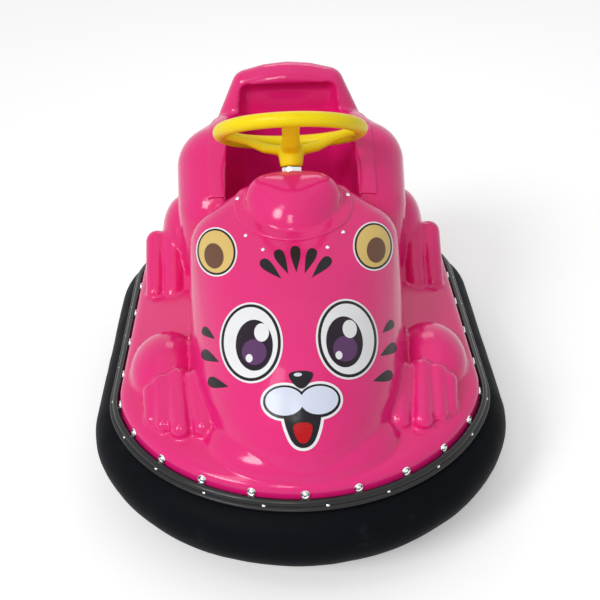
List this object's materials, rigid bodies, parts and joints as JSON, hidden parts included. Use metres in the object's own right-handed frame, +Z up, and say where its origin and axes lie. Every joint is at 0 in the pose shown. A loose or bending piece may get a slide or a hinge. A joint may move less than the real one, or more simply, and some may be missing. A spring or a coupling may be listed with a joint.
{
  "type": "bumper car",
  "caption": "Child's bumper car: moulded animal body in a rubber bumper ring, with a turning steering wheel, a swivelling drive wheel and free rear wheels.",
  "frame": {"origin": "middle of the car's outline, on the floor that its wheels stand on", "axes": "+Z up; +Y towards the rear, along the car's length; the front faces -Y; +X to the driver's left as seated"},
  "size_m": [0.95, 1.22, 0.8057],
  "materials": {
    "shell_pink": "glossy gel-coated moulding",
    "bumper_rubber": "matte scuffed rubber",
    "strip_rubber": "smooth black rubber",
    "dark_steel": "black paint",
    "battery_plastic": "matte",
    "bright_steel": "bright plated",
    "plain_steel": "turned",
    "nylon": "natural nylon",
    "cast_grey": "grey paint",
    "wheel_yellow": "satin moulded plastic",
    "rim_alloy": "cast",
    "tyre_rubber": "solid rubber"
  },
  "bodies": {
    "car": {"body_shell": "shell_pink", "column_cowl": "shell_pink", "seat_shell": "shell_pink", "bumper_tube": "bumper_rubber", "bumper_rim": "dark_steel", "bumper_strip": "strip_rubber", "frame_rail_left": "dark_steel", "frame_rail_right": "dark_steel", "frame_cross_front": "dark_steel", "frame_cross_rear": "dark_steel", "floor_plate": "dark_steel", "battery_block": "battery_plastic", "column_collar": "bright_steel", "column_tube": "dark_steel", "column_bushes": "nylon", "steering_box": "cast_grey", "drive_drum": "dark_steel", "swivel_bearing": "cast_grey", "rear_bracket_left": "dark_steel", "rear_bracket_right": "dark_steel", "rear_axle_left": "plain_steel", "rear_axle_right": "plain_steel", "pedal_bracket": "dark_steel", "pedal_plate": "bumper_rubber"},
    "steering": {"steering_shaft": "plain_steel", "steering_wheel": "wheel_yellow", "wheel_nut": "bright_steel", "wheel_cap": "wheel_yellow"},
    "drive_unit": {"kingpin": "plain_steel", "drive_fork": "dark_steel", "drive_motor": "cast_grey", "drive_axle": "plain_steel"},
    "drive_wheel": {"drive_rim": "rim_alloy", "drive_tyre": "tyre_rubber"},
    "rear_wheel_left": {"rear_rim_left": "nylon", "rear_tyre_left": "tyre_rubber"},
    "rear_wheel_right": {"rear_rim_right": "nylon", "rear_tyre_right": "tyre_rubber"}
  },
  "joints": [
    {"name": "steer", "type": "hinge", "parent": "car", "child": "steering", "pos_m": [0, 0.165, 0.7], "axis": [0, 0.5446, 0.8387], "range_deg": [-180, 180]},
    {"name": "drive_swivel", "type": "hinge", "parent": "car", "child": "drive_unit", "pos_m": [0, -0.23, 0.15], "axis": [0, 0, 1], "range_deg": [-180, 180]},
    {"name": "drive_spin", "type": "hinge", "parent": "drive_unit", "child": "drive_wheel", "pos_m": [0, -0.23, 0.1], "axis": [1, 0, 0], "continuous": true},
    {"name": "rear_left_spin", "type": "hinge", "parent": "car", "child": "rear_wheel_left", "pos_m": [0.256, 0.258, 0.075], "axis": [1, 0, 0], "continuous": true},
    {"name": "rear_right_spin", "type": "hinge", "parent": "car", "child": "rear_wheel_right", "pos_m": [-0.256, 0.258, 0.075], "axis": [1, 0, 0], "continuous": true}
  ],
  "couplings": [
    {"joint": "steer", "follows": "drive_swivel", "ratio": 1}
  ]
}
